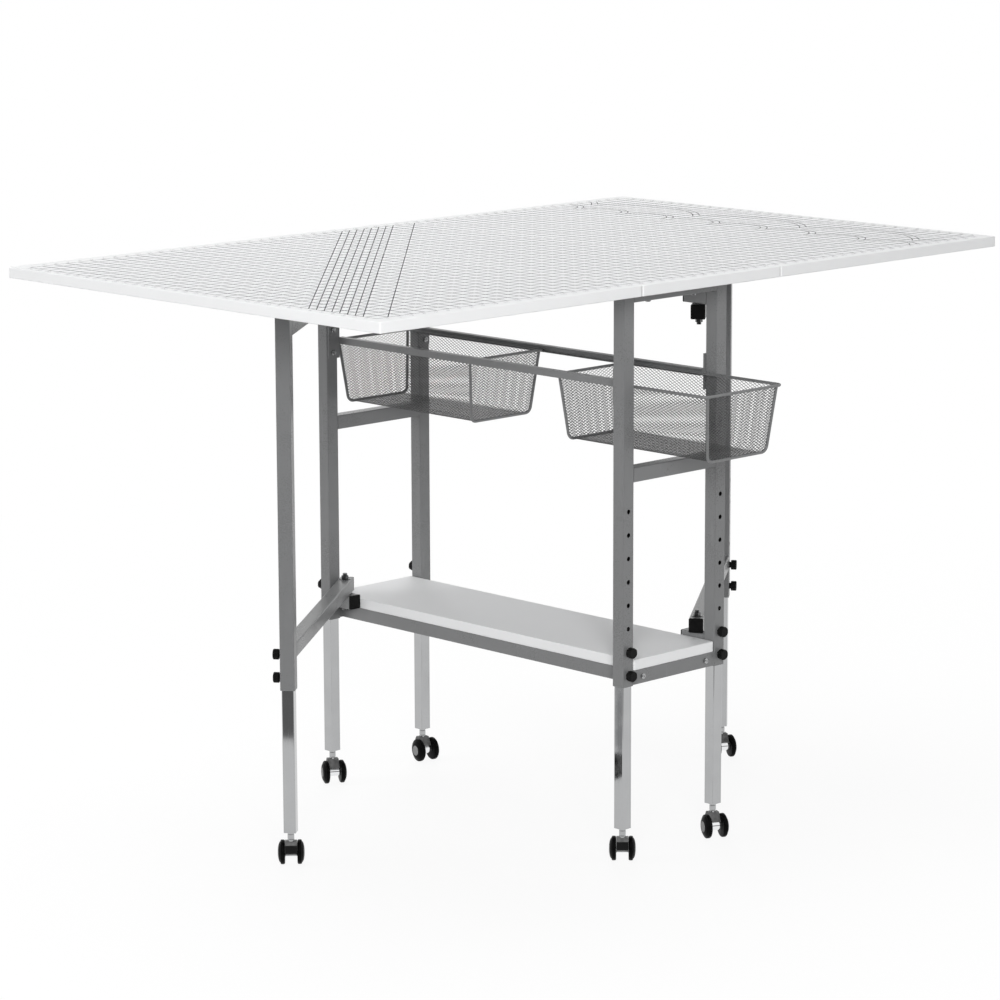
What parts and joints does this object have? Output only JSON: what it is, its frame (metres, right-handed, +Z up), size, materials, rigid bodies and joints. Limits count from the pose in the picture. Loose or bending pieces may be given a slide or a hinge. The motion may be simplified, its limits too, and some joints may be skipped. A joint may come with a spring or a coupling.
{
  "type": "folding cutting table",
  "caption": "Folding cutting table with hinged leaves, swinging gate legs, telescopic chromed feet on casters, sliding mesh baskets and a low shelf.",
  "frame": {"origin": "on the floor under the middle of the whole part as pictured, with the near basket pulled out", "axes": "+X across the leaves to the right leaf, +Y along the base to the far end, +Z up"},
  "size_m": [1.492, 1.0004, 1],
  "materials": {
    "laminate_board": "white laminate with a printed measuring grid on the top faces, matt",
    "painted_steel": "satin grey powder coat",
    "chromed_steel": "bright chrome plate",
    "black_plastic": "moulded, lightly textured",
    "caster_plastic": "moulded hood with a plated stem",
    "zinc_fasteners": "zinc plate",
    "hinge_steel": "zinc plate",
    "basket_mesh": "silver grey coated expanded mesh",
    "basket_wire": "silver grey coated wire"
  },
  "bodies": {
    "base": {"centre_panel": "laminate_board", "centre_hinge_plates": "hinge_steel", "hinge_pins": "zinc_fasteners", "shelf_board": "laminate_board", "left_side_rail": "painted_steel", "right_side_rail": "painted_steel", "left_basket_rail": "painted_steel", "right_basket_rail": "painted_steel", "frame_screws": "zinc_fasteners", "pivot_stubs": "painted_steel", "stub_caps": "black_plastic", "pivot_bolts": "zinc_fasteners", "base_knobs": "black_plastic", "near_left_leg": "painted_steel", "near_right_leg": "painted_steel", "near_top_bar": "painted_steel", "near_mid_bar": "painted_steel", "near_end_bar": "painted_steel", "far_left_leg": "painted_steel", "far_right_leg": "painted_steel", "far_top_bar": "painted_steel", "far_mid_bar": "painted_steel", "far_end_bar": "painted_steel"},
    "left_leaf_body": {"left_leaf": "laminate_board", "left_hinge_plates": "hinge_steel"},
    "left_gate": {"left_gate_leg": "painted_steel", "left_gate_upper_arm": "painted_steel", "left_gate_lower_arm": "painted_steel", "left_gate_caps": "black_plastic", "left_gate_knobs": "black_plastic"},
    "right_leaf_body": {"right_leaf": "laminate_board", "right_hinge_plates": "hinge_steel"},
    "right_gate": {"right_gate_leg": "painted_steel", "right_gate_upper_arm": "painted_steel", "right_gate_lower_arm": "painted_steel", "right_gate_caps": "black_plastic", "right_gate_knobs": "black_plastic"},
    "left_gate_foot": {"left_gate_inner_leg": "chromed_steel"},
    "left_gate_caster": {"left_gate_caster_hood": "caster_plastic"},
    "left_gate_wheels": {"left_gate_caster_wheels": "black_plastic"},
    "right_gate_foot": {"right_gate_inner_leg": "chromed_steel"},
    "right_gate_caster": {"right_gate_caster_hood": "caster_plastic"},
    "right_gate_wheels": {"right_gate_caster_wheels": "black_plastic"},
    "near_left_foot": {"near_left_inner_leg": "chromed_steel"},
    "near_left_caster": {"near_left_caster_hood": "caster_plastic"},
    "near_left_wheels": {"near_left_caster_wheels": "black_plastic"},
    "near_right_foot": {"near_right_inner_leg": "chromed_steel"},
    "near_right_caster": {"near_right_caster_hood": "caster_plastic"},
    "near_right_wheels": {"near_right_caster_wheels": "black_plastic"},
    "far_left_foot": {"far_left_inner_leg": "chromed_steel"},
    "far_left_caster": {"far_left_caster_hood": "caster_plastic"},
    "far_left_wheels": {"far_left_caster_wheels": "black_plastic"},
    "far_right_foot": {"far_right_inner_leg": "chromed_steel"},
    "far_right_caster": {"far_right_caster_hood": "caster_plastic"},
    "far_right_wheels": {"far_right_caster_wheels": "black_plastic"},
    "near_basket": {"near_basket_mesh": "basket_mesh", "near_basket_frame": "basket_wire"},
    "far_basket": {"far_basket_mesh": "basket_mesh", "far_basket_frame": "basket_wire"}
  },
  "joints": [
    {"name": "left_leaf_lift", "type": "hinge", "parent": "base", "child": "left_leaf_body", "pos_m": [-0.1685, 0.03675, 0.9781], "axis": [0, 1, 0], "range_deg": [0, 4]},
    {"name": "left_gate_swing", "type": "hinge", "parent": "base", "child": "left_gate", "pos_m": [-0.113, 0.365, 0.36], "axis": [0, 0, 1], "range_deg": [-37.4, 52.6]},
    {"name": "right_leaf_lift", "type": "hinge", "parent": "base", "child": "right_leaf_body", "pos_m": [0.1685, 0.03675, 0.9781], "axis": [0, -1, 0], "range_deg": [0, 4]},
    {"name": "right_gate_swing", "type": "hinge", "parent": "base", "child": "right_gate", "pos_m": [0.113, -0.2915, 0.36], "axis": [0, 0, 1], "range_deg": [-37.4, 52.6]},
    {"name": "left_gate_height", "type": "slide", "parent": "left_gate", "child": "left_gate_foot", "axis": [0, 0, 1], "range_m": [0, 0.24]},
    {"name": "left_gate_swivel", "type": "hinge", "parent": "left_gate_foot", "child": "left_gate_caster", "pos_m": [-0.5253, 0.04977, 0.0595], "axis": [0, 0, 1], "continuous": true},
    {"name": "left_gate_roll", "type": "hinge", "parent": "left_gate_caster", "child": "left_gate_wheels", "pos_m": [-0.51794, 0.05795, 0.021], "axis": [-0.7431, 0.6691, 0], "continuous": true},
    {"name": "right_gate_height", "type": "slide", "parent": "right_gate", "child": "right_gate_foot", "axis": [0, 0, 1], "range_m": [0, 0.24]},
    {"name": "right_gate_swivel", "type": "hinge", "parent": "right_gate_foot", "child": "right_gate_caster", "pos_m": [0.5253, 0.02373, 0.0595], "axis": [0, 0, 1], "continuous": true},
    {"name": "right_gate_roll", "type": "hinge", "parent": "right_gate_caster", "child": "right_gate_wheels", "pos_m": [0.52031, 0.01393, 0.021], "axis": [0.891, -0.454, 0], "continuous": true},
    {"name": "near_left_height", "type": "slide", "parent": "base", "child": "near_left_foot", "axis": [0, 0, 1], "range_m": [0, 0.24]},
    {"name": "near_left_swivel", "type": "hinge", "parent": "near_left_foot", "child": "near_left_caster", "pos_m": [-0.113, -0.33125, 0.0595], "axis": [0, 0, 1], "continuous": true},
    {"name": "near_left_roll", "type": "hinge", "parent": "near_left_caster", "child": "near_left_wheels", "pos_m": [-0.10509, -0.32361, 0.021], "axis": [-0.6947, 0.7193, 0], "continuous": true},
    {"name": "near_right_height", "type": "slide", "parent": "base", "child": "near_right_foot", "axis": [0, 0, 1], "range_m": [0, 0.24]},
    {"name": "near_right_swivel", "type": "hinge", "parent": "near_right_foot", "child": "near_right_caster", "pos_m": [0.113, -0.33125, 0.0595], "axis": [0, 0, 1], "continuous": true},
    {"name": "near_right_roll", "type": "hinge", "parent": "near_right_caster", "child": "near_right_wheels", "pos_m": [0.10801, -0.34105, 0.021], "axis": [0.891, -0.454, 0], "continuous": true},
    {"name": "far_left_height", "type": "slide", "parent": "base", "child": "far_left_foot", "axis": [0, 0, 1], "range_m": [0, 0.24]},
    {"name": "far_left_swivel", "type": "hinge", "parent": "far_left_foot", "child": "far_left_caster", "pos_m": [-0.113, 0.40475, 0.0595], "axis": [0, 0, 1], "continuous": true},
    {"name": "far_left_roll", "type": "hinge", "parent": "far_left_caster", "child": "far_left_wheels", "pos_m": [-0.1185, 0.39522, 0.021], "axis": [0.866, -0.5, 0], "continuous": true},
    {"name": "far_right_height", "type": "slide", "parent": "base", "child": "far_right_foot", "axis": [0, 0, 1], "range_m": [0, 0.24]},
    {"name": "far_right_swivel", "type": "hinge", "parent": "far_right_foot", "child": "far_right_caster", "pos_m": [0.113, 0.40475, 0.0595], "axis": [0, 0, 1], "continuous": true},
    {"name": "far_right_roll", "type": "hinge", "parent": "far_right_caster", "child": "far_right_wheels", "pos_m": [0.11053, 0.39403, 0.021], "axis": [0.9744, -0.225, 0], "continuous": true},
    {"name": "near_basket_slide", "type": "slide", "parent": "base", "child": "near_basket", "axis": [0, -1, 0], "range_m": [-0.161, 0.139]},
    {"name": "far_basket_slide", "type": "slide", "parent": "base", "child": "far_basket", "axis": [0, 1, 0], "range_m": [0, 0.3]}
  ]
}
